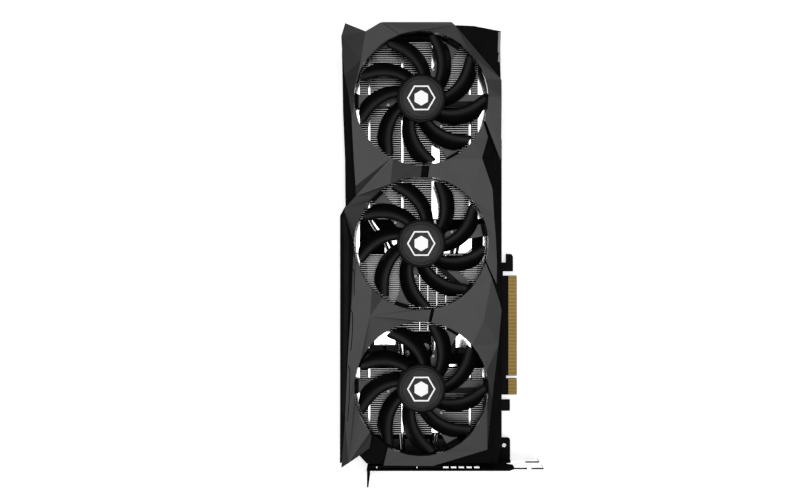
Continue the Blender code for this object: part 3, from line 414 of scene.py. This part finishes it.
def blade_loop(share, hub, tip):
    """Closed section of a blade at a share of its length, as points in millimetres."""
    radius = hub + (tip - hub) * share
    sweep = math.radians(37)
    slant = math.atan(radius * sweep / (tip - hub))
    width = (8.6 + 3.6 * math.sin(math.pi * min(1.0, share * 1.1) * 0.5)) / math.cos(slant * 0.75)
    rounding = max(0.0, (share - 0.84) / 0.16)
    half = 0.5 * width / radius * (1 - 0.3 * rounding ** 2.5)
    centre = sweep * share
    steps = 10
    upper = []
    lower = []
    for step in range(steps + 1):
        across = step / steps
        angle = centre - half + 2 * half * across
        rise = math.sin(math.pi * 0.5 * min(1.0, across * 1.55)) ** 0.9
        droop = 1.3 * max(0.0, (across - 0.8) / 0.2) ** 2
        height = 36.8 + 6.4 * rise + 0.9 * across - droop
        thick = 0.35 + 1.3 * math.sin(math.pi * min(1.0, 0.08 + across * 0.9))
        turned_in = radius - (0.8 if share == 1 else 0.0) * (2 * across - 1) ** 4
        upper.append((turned_in * math.cos(angle), turned_in * math.sin(angle), height))
        lower.append((turned_in * math.cos(angle), turned_in * math.sin(angle), height - thick))
    return upper + lower[::-1]


def make_rotor(fan, materials):
    """Nine smooth swept blades on a hub cup, with a stepped cap."""
    axis = FAN_AXIS[fan]
    low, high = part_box(f"fan_{fan}_rotor")
    hub = HUB_RADIUS
    tip = (high.y - low.y) / 2 / MM
    stations = 14
    shape = bmesh.new()
    for blade in range(BLADE_COUNT):
        angle = 2 * math.pi * blade / BLADE_COUNT + math.radians(ROTOR_TURN[fan])
        turn = Matrix.Rotation(angle, 3, "Z")
        loops = []
        for station in range(stations + 1):
            share = station / stations
            points = blade_loop(share, hub - 0.6, tip)
            loops.append([shape.verts.new(axis.xy.to_3d() + turn @ Vector(point) * MM)
                          for point in points])
        for inner, outer in zip(loops, loops[1:]):
            for index in range(len(inner)):
                following = (index + 1) % len(inner)
                shape.faces.new((inner[index], inner[following], outer[following], outer[index]))
        shape.faces.new(loops[-1])
        shape.faces.new(loops[0])
    add_turned(shape, [(hub, 35.4), (hub, 44.3), (hub - 0.35, 44.8), (hub - 1.1, 45.1),
                       (hub - 1.5, 45.15), (hub - 1.5, 44.0), (14.7, 44.0), (14.7, 35.4)], axis)
    add_piece(f"fan_{fan}_blades", shape, materials["fan_plastic"], f"fan_{fan}",
              (f"fan_{fan}_rotor",))
    cap = bmesh.new()
    add_turned(cap, [(0, 45.75), (12.7, 45.75), (13.0, 45.45), (13.5, 45.45), (13.8, 45.8),
                     (14.5, 45.8), (14.95, 45.3), (14.95, 44.2), (0, 44.2)], axis)
    add_piece(f"fan_{fan}_cap", cap, materials["cap_plastic"], f"fan_{fan}")
    # Emblem in white print; its material also carries a painted glow.
    mark = bmesh.new()
    add_polygon_prism(mark, axis, 9.6, 8.5, 6, 0.0, CAP_TOP, CAP_TOP + 0.2)
    add_polygon_prism(mark, axis, 5.2, 0, 6, math.radians(30), CAP_TOP, CAP_TOP + 0.2)
    add_piece(f"fan_{fan}_mark", mark, materials["white_print_and_painted_glow"], f"fan_{fan}",
              smooth=False)


def make_fan_lead(fan, materials):
    """Four thin wires clipped along one arm, from the motor to the shroud."""
    axis = FAN_AXIS[fan]
    turn = Matrix.Rotation(math.radians(LEAD_ANGLE[fan]), 3, "Z")
    height = 34.9 * MM
    pitch = 0.95
    aside = -2.6
    route = ((14.5, 0.0), (20, 0.4), (27, -0.3), (34, 0.5), (40, 0.0), (45.2, 0.2))
    for wire in range(4):
        points = []
        for out, wander in route:
            across = (wire - 1.5) * pitch + wander + aside
            place = turn @ Vector((out * MM, across * MM, 0))
            points.append((axis.x + place.x, axis.y + place.y, height, 1.0))
        add_tube(f"fan_{fan}_lead_{wire + 1}", points, 0.45 * MM, 3, "NURBS",
                 materials["socket_plastic"])


def make_arm_ends(fan, materials):
    """Black block where each fan arm meets the shroud."""
    axis = FAN_AXIS[fan]
    shape = bmesh.new()
    for angle in (*ARM_ANGLES[fan], LEAD_ANGLE[fan]):
        turn = Matrix.Rotation(math.radians(angle), 4, "Z")
        first = len(shape.verts)
        add_box(shape, (42.6 * MM, -4.6 * MM, 31.8 * MM), (45.1 * MM, 4.6 * MM, 35.2 * MM))
        shape.verts.ensure_lookup_table()
        fresh = shape.verts[first:]
        bmesh.ops.transform(shape, matrix=Matrix.Translation(axis.xy.to_3d()) @ turn, verts=fresh)
    ends = add_piece(f"fan_{fan}_arm_ends", shape, materials["frame_plastic"], CARD,
                     smooth=False)
    soften(ends, 0.4)


def make_vent_baffle(materials):
    """Black foam strip behind most of the bracket's vents, leaving the last five open."""
    low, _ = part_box("io_bracket")
    face = low.y + BRACKET_FACE + 1.2 * MM
    shape = bmesh.new()
    for left, right in ((-35.5, -30.6), (-29.8, -3.0), (-2.2, 13.9)):
        add_box(shape, (left * MM, face, 24 * MM), (right * MM, face + 1.6 * MM, 37 * MM))
    baffle = add_piece("vent_baffle", shape, materials["frame_plastic"], CARD,
                       smooth=False)
    soften(baffle, 0.3)


def make_cover_grooves(materials):
    """Dark seams of three snap-in tabs along the left edge of the cover."""
    for number, route in enumerate(GROOVES, 1):
        points = [(x * MM, y * MM, COVER_TOP * MM, 1.0) for x, y in route]
        add_tube(f"cover_groove_{number}", points, 0.28 * MM, 2, "POLY",
                 materials["frame_plastic"])


def make_side_panel(materials):
    """Slightly lighter panel laid on the upper half of the left skirt, with three small lugs."""
    shape = bmesh.new()
    drop = SKIRT_BOTTOM - SKIRT_TOP
    foot = -56.9
    stations = ((18.0, -51.0), (2.0, -48.4), (-8.0, -48.4), (-43.5, -48.8), (-80.5, -50.0),
                (-117.0, -51.2))
    rows = []
    for y, top in stations:
        row = []
        for share in (0.04, 0.5):
            x = top + (foot - top) * share
            z = SKIRT_TOP + drop * share
            for lift in (0.1, 0.5):
                row.append(shape.verts.new(((x - lift) * MM, y * MM, (z + 0.3 * lift) * MM)))
        rows.append([row[0], row[1], row[3], row[2]])
    add_bar(shape, rows)
    for y, share in ((14.0, 0.2), (7.5, 0.27), (2.5, 0.2)):
        x = -48.4 - 8.5 * share
        z = SKIRT_TOP + drop * share
        add_box(shape, ((x - 1.6) * MM, (y - 1.3) * MM, (z - 1.5) * MM),
                ((x - 0.2) * MM, (y + 1.3) * MM, (z + 0.6) * MM))
    panel = add_piece("side_panel", shape, materials["side_plastic"], CARD,
                      smooth=False)
    soften(panel, 0.3)


def make_tail_painted_edge_highlight(materials):
    """Pale strip along the right edge of the tail skirt: a painted highlight where the edge catches
    the light.
    """
    shape = bmesh.new()
    rows = []
    for x, y, z in ((54.1, 125.0, 30.9), (53.8, 133.0, 31.8), (54.5, 146.3, 29.2)):
        rows.append([shape.verts.new(((x + across) * MM, y * MM, (z + rise) * MM))
                     for across, rise in ((-0.9, 0.0), (0.9, -0.6), (0.9, 0.0), (-0.9, 0.6))])
    add_bar(shape, rows)
    painted_edge_highlight = add_piece("tail_painted_edge_highlight", shape, materials["painted_edge_highlight"], CARD, smooth=False)
    soften(painted_edge_highlight, 0.15)


def make_tongue_plating(materials):
    """Bare nickel on the inner faces of the bracket's two tongues."""
    low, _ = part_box("io_bracket")
    face = low.y + BRACKET_FACE + 1.0 * MM
    tongue_width = 10.19
    shape = bmesh.new()
    for bottom, bare in ((3.9, (64.0, 74.0)), (3.9 + BRACKET_PITCH, (73.0, 75.5))):
        top = bottom + tongue_width
        add_box(shape, (64.0 * MM, face, (bottom + 0.2) * MM),
                (83.6 * MM, face + 0.12 * MM, (top - 0.1) * MM))
        add_box(shape, (bare[0] * MM, face - 0.9 * MM, (top - 0.4) * MM),
                (bare[1] * MM, face + 0.1 * MM, (top + 0.1) * MM))
    plating = add_piece("tongue_plating", shape, materials["nickel"], CARD, smooth=False)
    soften(plating, 0.04)


def add_disc(shape, x, y, radius, low, high):
    """Round head with a chamfered edge; all sizes in millimetres."""
    edge = radius * 0.25
    add_turned(shape, [(0, low), (radius, low), (radius, high - edge), (radius - edge, high),
                       (0, high)], (x * MM, y * MM), 24)


def make_arm_screws(fan, materials):
    """Small screws that hold the motor plate, one on each of three arms."""
    axis = FAN_AXIS[fan]
    reach = 22.6
    shape = bmesh.new()
    for angle in ARM_ANGLES[fan]:
        turn = math.radians(angle + 8.0)
        add_disc(shape, axis.x / MM + reach * math.cos(turn),
                 axis.y / MM + reach * math.sin(turn), 1.3, 34.3, 35.2)
    add_piece(f"fan_{fan}_screws", shape, materials["dull_steel"], CARD)


def make_gap_parts(materials):
    """Parts that show between the fin stacks: bright blocks, side plates and screw heads."""
    pads = bmesh.new()
    for left, right, start, end, top in ((-33.0, -17.0, -72.0, -61.5, 14.0),
                                         (24.5, 36.5, -74.0, -62.0, 13.0)):
        add_box(pads, (left * MM, start * MM, (top - 1.5) * MM), (right * MM, end * MM, top * MM))
    soften(add_piece("gap_pads", pads, materials["nickel"], CARD, smooth=False),
           0.8, 3)
    plates = bmesh.new()
    left, right = STACK_EDGES
    add_box(plates, (left * MM, -7.0 * MM, 24 * MM), (-42.0 * MM, 16.6 * MM, 27 * MM))
    add_box(plates, (43.0 * MM, -7.0 * MM, 24 * MM), (right * MM, 8.7 * MM, 27 * MM))
    add_box(plates, (19.4 * MM, -85.2 * MM, 26 * MM), (25.6 * MM, -83.2 * MM, 28 * MM))
    soften(add_piece("gap_plates", plates, materials["nickel"], CARD, smooth=False), 0.3)
    heads = bmesh.new()
    add_disc(heads, -36.3, -73.0, 1.4, 8.2, 9.6)
    add_disc(heads, 31.0, 10.5, 1.6, 8.2, 9.6)
    add_piece("gap_screws", heads, materials["nickel"], CARD)


# --- Heatsink --------------------------------------------------------------------------

def make_fin_stack(name, materials):
    """Fine fins with folded tops, in banks with polished strips between and beside them. The fin
    sides and a sheet under the fins are near black: painted shade for the depth of the gaps.
    """
    low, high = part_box(f"fin_stack_{name}")
    base_top = low.z + 1.2 * MM
    near = low.y + 0.5 * MM
    far = high.y - 0.5 * MM
    banks = BANKS[name]
    count = round((far - near) / FIN_PITCH)
    thickness = 0.25 * MM
    fold = 0.36 * MM
    shape = bmesh.new()
    for number in range(count + 1):
        y = near + (far - near - 0.7 * MM) * number / count
        for left, right in banks:
            add_box(shape, (left * MM, y, base_top), (right * MM, y + thickness, high.z - 0.2 * MM))
            add_box(shape, (left * MM, y, high.z - 0.25 * MM), (right * MM, y + fold, high.z))
    fins = add_piece(f"fins_{name}", shape, materials["fins"], CARD,
                     (f"fin_stack_{name}",), False)
    fins.data.materials.append(materials["fin_painted_shade"])
    # Only the folded tops keep the lit fin metal; every face below them gets the painted shade
    # material.
    for face in fins.data.polygons:
        face.material_index = int(face.center.z < high.z - 0.26 * MM)
    # Dark sheet at the foot of the fins: painted shade at the bottom of the gaps.
    floor = bmesh.new()
    add_box(floor, low, (high.x, high.y, base_top))
    add_piece(f"fin_floor_painted_shade_{name}", floor, materials["fin_painted_shade"], CARD, smooth=False)
    strips = bmesh.new()
    for left, right in zip([bank[1] for bank in banks[:-1]], [bank[0] for bank in banks[1:]]):
        drop = 0.5 * MM if right - left < 1 else 5 * MM
        add_box(strips, (left * MM, near, base_top), (right * MM, far, high.z - drop))
    for left, right in ((STACK_EDGES[0], banks[0][0] - 0.2), (banks[-1][1] + 0.2, STACK_EDGES[1])):
        add_box(strips, (left * MM, near, high.z - 6 * MM), (right * MM, far, high.z - 3 * MM))
    plate = add_piece(f"fin_strips_{name}", strips, materials["nickel"], CARD,
                      smooth=False)
    soften(plate, 0.2)
    if PIPE_WINDOWS[name]:
        pipes = bmesh.new()
        for left, right, start, end in PIPE_WINDOWS[name]:
            add_box(pipes, (left * MM, start * MM, high.z - 5 * MM),
                    (right * MM, end * MM, high.z - 2.2 * MM))
        flat = add_piece(f"flat_pipes_{name}", pipes, materials["dull_nickel"], CARD,
                         smooth=False)
        soften(flat, 1.2, 3)


def make_heat_pipe(number, materials):
    """Round pipe with a swaged, drawn-down end, along the route of its CAD solid."""
    low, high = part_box(f"heat_pipe_{number}")
    radius = (high.z - low.z) / 2
    middle = (high.z + low.z) / 2
    if high.x - low.x < 3 * radius:
        x = (low.x + high.x) / 2
        route = [(x, high.y - (high.y - low.y) * step / 12) for step in range(13)]
    else:
        outer, inner = low.x + radius, high.x - radius
        if number == 4:
            outer, inner = inner, outer
        route = [(outer, high.y), (outer, high.y - 4 * MM), (outer, 60 * MM), (outer, 24 * MM)]
        for step in range(1, 13):
            share = step / 12
            eased = (1 - math.cos(math.pi * share)) / 2
            route.append((outer + (inner - outer) * eased, (24 - 32 * share) * MM))
        route += [(inner, -30 * MM), (inner, low.y + 4 * MM), (inner, low.y)]
    drawn_down = 0.45
    points = [(x, y, middle, drawn_down if index in (0, len(route) - 1) else 1.0)
              for index, (x, y) in enumerate(route)]
    pipe = add_tube(f"pipe_{number}", points, radius, 6, "POLY", materials["nickel"])
    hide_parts(f"heat_pipe_{number}")


# --- Board -----------------------------------------------------------------------------

def make_contacts(materials):
    """Separate gold pads at one millimetre pitch over a strip of bare laminate."""
    for group in ("long", "short"):
        for side in ("front", "rear"):
            low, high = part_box(f"contacts_{side}_{group}")
            outward = 1 if side == "front" else -1
            face = high.z if side == "front" else low.z
            under = face - outward * 0.05 * MM
            deep = face - outward * 0.35 * MM
            core = bmesh.new()
            add_box(core, (low.x, low.y, min(deep, under)), (high.x, high.y, max(deep, under)))
            add_piece(f"laminate_{side}_{group}", core, materials["board"], CARD,
                      smooth=False)
            shape = bmesh.new()
            count = int((high.y - low.y) / MM)
            width = 0.62 * MM
            margin = (high.y - low.y - (count - 1) * MM - width) / 2
            for number in range(count):
                start = low.y + margin + number * MM
                add_box(shape, (low.x + 0.3 * MM, start, min(face, under)),
                        (high.x - 0.2 * MM, start + width, max(face, under)))
            add_piece(f"pads_{side}_{group}", shape, materials["gold"], CARD,
                      (f"contacts_{side}_{group}",), False)


def make_choke(number, materials):
    """Pressed power choke: rounded body and two solder feet."""
    low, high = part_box(f"choke_{number}")
    shape = bmesh.new()
    add_box(shape, (low.x, low.y, low.z + 0.3 * MM), high)
    body = add_piece(f"power_choke_{number}", shape, materials["ferrite"], CARD,
                     (f"choke_{number}",))
    soften(body, 0.8, 3)
    feet = bmesh.new()
    centre_x = (low.x + high.x) / 2
    for y in (low.y, high.y - 1.4 * MM):
        add_box(feet, (centre_x - 2.2 * MM, y - 0.2 * MM, low.z - 0.25 * MM),
                (centre_x + 2.2 * MM, y + 1.6 * MM, low.z + 0.6 * MM))
    add_piece(f"choke_feet_{number}", feet, materials["steel"], CARD, smooth=False)


def make_capacitors(materials):
    """Row of round capacitor cans on the board in the gap between the fin stacks."""
    places = ((-10.0, -78.0), (-3.5, -73.5), (4.0, -73.5), (16.5, -78.0))
    base = BOARD_TOP
    for number, (x, y) in enumerate(places, 1):
        can = bmesh.new()
        add_turned(can, [(0, base), (3.0, base), (3.0, base + 4.6), (2.8, base + 5.0),
                         (2.5, base + 5.05), (0, base + 5.05)], (x * MM, y * MM), 32)
        add_piece(f"capacitor_{number}", can, materials["dull_steel"], CARD)


def make_power_socket(number, materials):
    """Eight-way power socket: housing with two rows of square cells, and its pins."""
    low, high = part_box(f"power_socket_{number}")
    shape = bmesh.new()
    pins = bmesh.new()
    wall = 0.7 * MM
    columns, rows = 4, 2
    cell_y = (high.y - low.y - wall) / columns
    cell_z = (high.z - low.z - wall) / rows
    back = low.x + 9.2 * MM
    add_box(shape, (back, low.y, low.z), high)
    for column in range(columns + 1):
        y = low.y + column * cell_y
        add_box(shape, (low.x, y, low.z), (back, y + wall, high.z))
    for row in range(rows + 1):
        z = low.z + row * cell_z
        add_box(shape, (low.x, low.y, z), (back, high.y, z + wall))
    for column in range(columns):
        for row in range(rows):
            y = low.y + (column + 0.5) * cell_y + wall / 2
            z = low.z + (row + 0.5) * cell_z + wall / 2
            add_box(pins, (low.x + 2.5 * MM, y - 0.55 * MM, z - 0.55 * MM),
                    (back + 0.1 * MM, y + 0.55 * MM, z + 0.55 * MM))
    add_piece(f"power_housing_{number}", shape, materials["socket_plastic"], CARD,
              (f"power_socket_{number}",), False)
    add_piece(f"power_pins_{number}", pins, materials["steel"], CARD, smooth=False)


def make_socket_tongue(name, materials):
    """Dark contact tongue with gilt contacts inside a video socket."""
    low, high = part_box(name)
    middle = (low.z + high.z) / 2
    shape = bmesh.new()
    add_box(shape, (low.x + 2.6 * MM, low.y + 1.5 * MM, middle - 0.4 * MM),
            (high.x - 2.6 * MM, low.y + 14.2 * MM, middle + 0.5 * MM))
    add_piece(f"{name}_tongue", shape, materials["socket_plastic"], CARD,
              smooth=False)
    contacts = bmesh.new()
    count = 10
    span = high.x - low.x - 6.4 * MM
    for number in range(count):
        x = low.x + 3.2 * MM + span * (number + 0.2) / count
        add_box(contacts, (x, low.y + 1.8 * MM, middle + 0.5 * MM),
                (x + 0.6 * span / count, low.y + 13 * MM, middle + 0.6 * MM))
    add_piece(f"{name}_contacts", contacts, materials["gold"], CARD, smooth=False)


def make_board_parts(materials):
    make_contacts(materials)
    for number in range(1, 5):
        make_choke(number, materials)
    make_capacitors(materials)
    for number in (1, 2):
        make_power_socket(number, materials)
    for name in VIDEO_SOCKETS:
        make_socket_tongue(name, materials)


def paint_nodes(materials):
    """Finish the CAD nodes that keep their own shape."""
    for name in COVERS:
        paint(name, materials["cover_plastic"], 0.35, 5)
    paint("shroud_frame", materials["frame_plastic"], 0.3, 25)
    for fan in FANS:
        paint(f"fan_{fan}_frame", materials["arm_plastic"], 0.35)
        paint(f"fan_{fan}_shaft", materials["steel"])
        paint(f"fan_{fan}_bearing", materials["brass"])
        paint(f"fan_{fan}_motor", materials["copper"])
    paint("backplate", materials["black_metal"], 0.2)
    paint("io_bracket", materials["black_metal"], 0.15)
    paint("memory_plate", materials["black_metal"], 0.2)
    paint("cold_plate", materials["nickel"], 0.3)
    paint("circuit_board", materials["board"], 0.1)
    paint("processor_package", materials["chip"], 0.15)
    paint("processor_die", materials["silicon"], 0.05)
    for number in range(1, 7):
        paint(f"memory_chip_{number}", materials["chip"], 0.15)
    for number in range(1, 5):
        paint(f"cooler_screw_{number}", materials["steel"])
    for name in VIDEO_SOCKETS:
        paint(name, materials["dark_steel"], 0.15)


def main():
    make_camera()
    make_world()
    make_area_light("overhead", (-0.014, 0, 1.9), (-0.014, 0, 0), 0.75, 0.8)
    make_floor()
    materials = make_materials()
    paint_nodes(materials)
    for fan in FANS:
        make_rotor(fan, materials)
        make_fan_lead(fan, materials)
        make_arm_ends(fan, materials)
        make_arm_screws(fan, materials)
        make_fin_stack(fan, materials)
    for number in range(1, 5):
        make_heat_pipe(number, materials)
    make_board_parts(materials)
    make_vent_baffle(materials)
    make_gap_parts(materials)
    make_cover_grooves(materials)
    make_side_panel(materials)
    make_tail_painted_edge_highlight(materials)
    make_tongue_plating(materials)


main()
